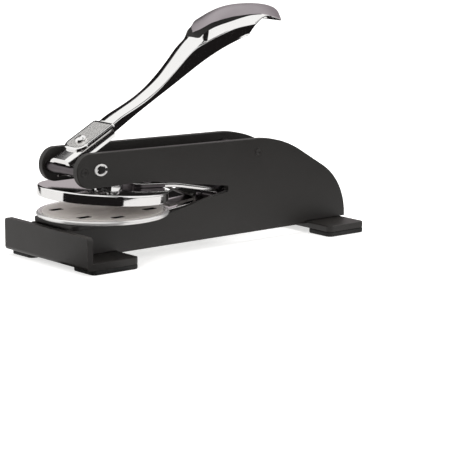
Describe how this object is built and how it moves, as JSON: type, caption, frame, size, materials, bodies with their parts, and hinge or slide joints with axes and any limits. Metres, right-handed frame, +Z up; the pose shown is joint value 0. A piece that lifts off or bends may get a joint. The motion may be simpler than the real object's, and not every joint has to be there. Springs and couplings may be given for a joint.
{
  "type": "seal embosser",
  "caption": "Desk press with a curved chrome lever that squeezes paper between round dies on a black plate frame.",
  "frame": {"origin": "on the desk, midway along the frame and on its centre line", "axes": "+X to the right side plate, +Y from the front plate towards the rear, +Z up"},
  "size_m": [0.06, 0.1532, 0.1021],
  "materials": {
    "black_enamel": "semi-gloss black baked enamel",
    "bright_chrome": "polished chrome plate",
    "die_steel": "fine turned face",
    "ground_steel": "ground and zinc plated",
    "clip_steel": "bright plated spring steel",
    "spring_steel": "tempered and oiled",
    "counter_die": "moulded hard resin",
    "foot_rubber": "matt moulded rubber"
  },
  "bodies": {
    "frame": {"bed_plate": "black_enamel", "bed_screws": "ground_steel", "front_bracket": "black_enamel", "holder_hinge_pin": "ground_steel", "holder_spring": "spring_steel", "lower_arm": "bright_chrome", "lower_die": "die_steel", "lower_holder": "bright_chrome", "nose_rod": "ground_steel", "pivot_clip_left": "clip_steel", "pivot_clip_right": "clip_steel", "pivot_pin": "ground_steel", "rear_rod": "ground_steel", "rear_strap": "black_enamel", "return_spring": "spring_steel", "rubber_foot_front_left": "foot_rubber", "rubber_foot_front_right": "foot_rubber", "rubber_foot_rear_left": "foot_rubber", "rubber_foot_rear_right": "foot_rubber", "side_plate_left": "black_enamel", "side_plate_right": "black_enamel"},
    "lever": {"lever_channel": "bright_chrome", "pivot_bush": "ground_steel", "presser_pin": "ground_steel", "handle": "bright_chrome", "handle_screw": "bright_chrome"},
    "upper_holder": {"upper_arm": "bright_chrome", "upper_cup": "bright_chrome", "upper_die": "counter_die", "pressure_boss": "bright_chrome", "arm_rivets": "ground_steel"}
  },
  "joints": [
    {"name": "lever_press", "type": "hinge", "parent": "frame", "child": "lever", "pos_m": [0, -0.0581, 0.0399], "axis": [-1, 0, 0], "range_deg": [0, 24], "stiffness_Nm_per_rad": 1, "springref_deg": -28.65, "deforming": ["return_spring"]},
    {"name": "holder_close", "type": "hinge", "parent": "frame", "child": "upper_holder", "pos_m": [0, 0.0114, 0.0224], "axis": [1, 0, 0], "range_deg": [0, 4.6], "stiffness_Nm_per_rad": 2, "springref_deg": -5.73, "deforming": ["holder_spring"]}
  ],
  "couplings": [
    {"joint": "holder_close", "follows": "lever_press", "ratio": 0.1916}
  ]
}
